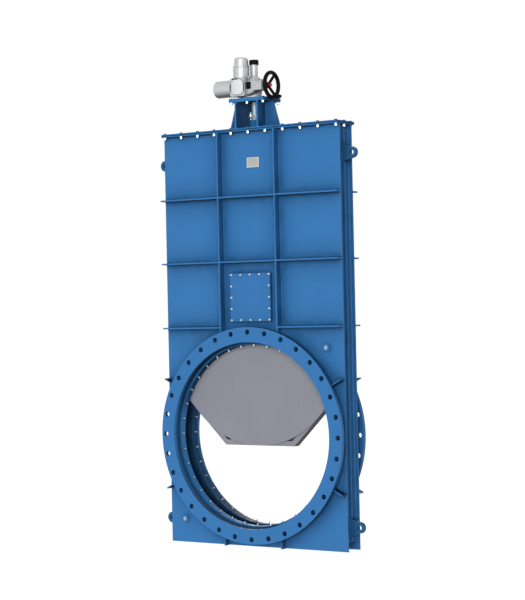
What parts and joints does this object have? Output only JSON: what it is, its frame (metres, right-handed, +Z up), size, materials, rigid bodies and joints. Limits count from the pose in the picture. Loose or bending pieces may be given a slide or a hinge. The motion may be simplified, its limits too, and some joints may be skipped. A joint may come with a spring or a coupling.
{
  "type": "guillotine damper",
  "caption": "Guillotine damper for a round duct: ribbed flat casing with drilled duct flanges, hollow blade on a screw stem, yoke and electric drive with handwheel.",
  "frame": {"origin": "on the duct axis, at the outer face of the front duct flange", "axes": "+X right seen from the front, +Y along the duct from front to back, +Z up"},
  "size_m": [1.5398, 0.288, 3.18],
  "materials": {
    "blue_paint": "satin blue coating",
    "zinc_steel": "bare or zinc-plated",
    "silver_paint": "silver-grey coated casting",
    "black_plastic": "satin black",
    "red_plastic": "gloss red",
    "blade_steel": "mill finish grey",
    "stem_steel": "greased machined steel"
  },
  "bodies": {
    "casing": {"front_plate": "blue_paint", "back_plate": "blue_paint", "right_side_wall": "blue_paint", "left_side_wall": "blue_paint", "side_strips": "blue_paint", "bottom_wall": "blue_paint", "top_flange": "blue_paint", "top_cover": "blue_paint", "hatch_frame": "blue_paint", "hatch_cover": "blue_paint", "yoke_legs": "blue_paint", "yoke_gussets": "blue_paint", "yoke_plate": "blue_paint", "adapter_plate": "blue_paint", "stuffing_box": "blue_paint", "upper_lifting_lugs": "blue_paint", "lower_lifting_lugs": "blue_paint", "front_duct_flange": "blue_paint", "back_duct_flange": "blue_paint", "front_neck": "blue_paint", "back_neck": "blue_paint", "front_seal_ring": "blue_paint", "back_seal_ring": "blue_paint", "front_vertical_ribs": "blue_paint", "back_vertical_ribs": "blue_paint", "front_horizontal_ribs": "blue_paint", "back_horizontal_ribs": "blue_paint", "front_flange_gussets": "blue_paint", "back_flange_gussets": "blue_paint", "nameplate": "zinc_steel", "purge_plugs": "zinc_steel", "gland_follower": "zinc_steel", "gearbox": "silver_paint", "stem_tube": "silver_paint", "control_housing": "silver_paint", "control_cover": "silver_paint", "motor": "silver_paint", "tube_cap": "black_plastic", "display": "black_plastic"},
    "blade": {"blade_frame": "blade_steel", "blade_front_skin": "blade_steel", "blade_back_skin": "blade_steel", "stem_nut": "blade_steel"},
    "stem": {"stem": "stem_steel"},
    "handwheel": {"handwheel": "black_plastic", "hub_button": "red_plastic"},
    "crank_knob": {"crank_knob": "black_plastic"}
  },
  "joints": [
    {"name": "blade_slide", "type": "slide", "parent": "casing", "child": "blade", "axis": [0, 0, 1], "range_m": [-0.574, 0.683]},
    {"name": "stem_spin", "type": "hinge", "parent": "casing", "child": "stem", "pos_m": [0, 0.144, 1.4], "axis": [0, 0, 1], "continuous": true},
    {"name": "handwheel_spin", "type": "hinge", "parent": "casing", "child": "handwheel", "pos_m": [0.166, 0.097, 2.264], "axis": [1, 0, 0], "continuous": true},
    {"name": "knob_spin", "type": "hinge", "parent": "handwheel", "child": "crank_knob", "pos_m": [0.206, 0.097, 2.1845], "axis": [1, 0, 0], "continuous": true}
  ],
  "couplings": [
    {"joint": "stem_spin", "follows": "blade_slide", "rad_per_m": 523.6}
  ]
}
